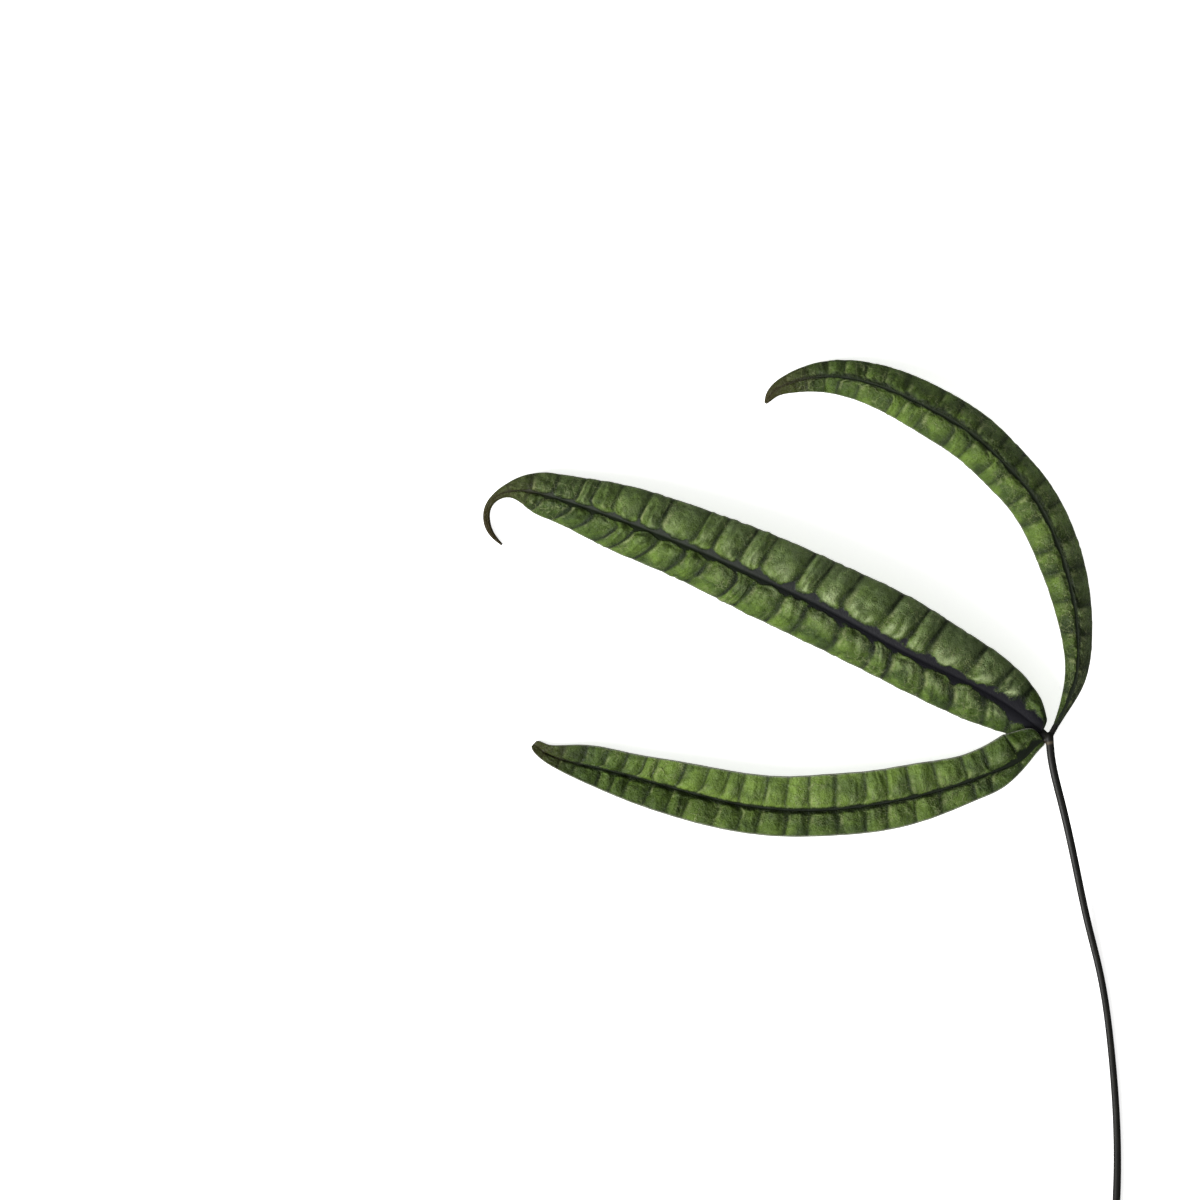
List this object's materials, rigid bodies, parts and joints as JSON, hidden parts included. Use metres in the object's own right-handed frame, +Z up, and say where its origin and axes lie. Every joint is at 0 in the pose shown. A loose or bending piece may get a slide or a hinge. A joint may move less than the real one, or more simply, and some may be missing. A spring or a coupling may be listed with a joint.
{
  "type": "anthurium leaf",
  "caption": "Picked leaf with narrow puckered leaflets fanned out at the end of a long dark stalk, lying flat, for plant scenes and arrangements.",
  "frame": {"origin": "on the surface that the leaf lies on, under the middle of its bounding box", "axes": "+Z up from the surface, out of the leaf's upper face; +Y from the stalk's cut end towards the leaflets; +X to the right, seen from above"},
  "size_m": [0.2428, 0.356, 0.0266],
  "materials": {
    "stalk": "near-black, smooth, faint sheen",
    "leaflets": "dark green, puckered, satin sheen on the bumps"
  },
  "bodies": {
    "root": {"stalk": "stalk", "leaflet_upper": "leaflets", "leaflet_middle": "leaflets", "leaflet_lower": "leaflets"}
  },
  "joints": []
}
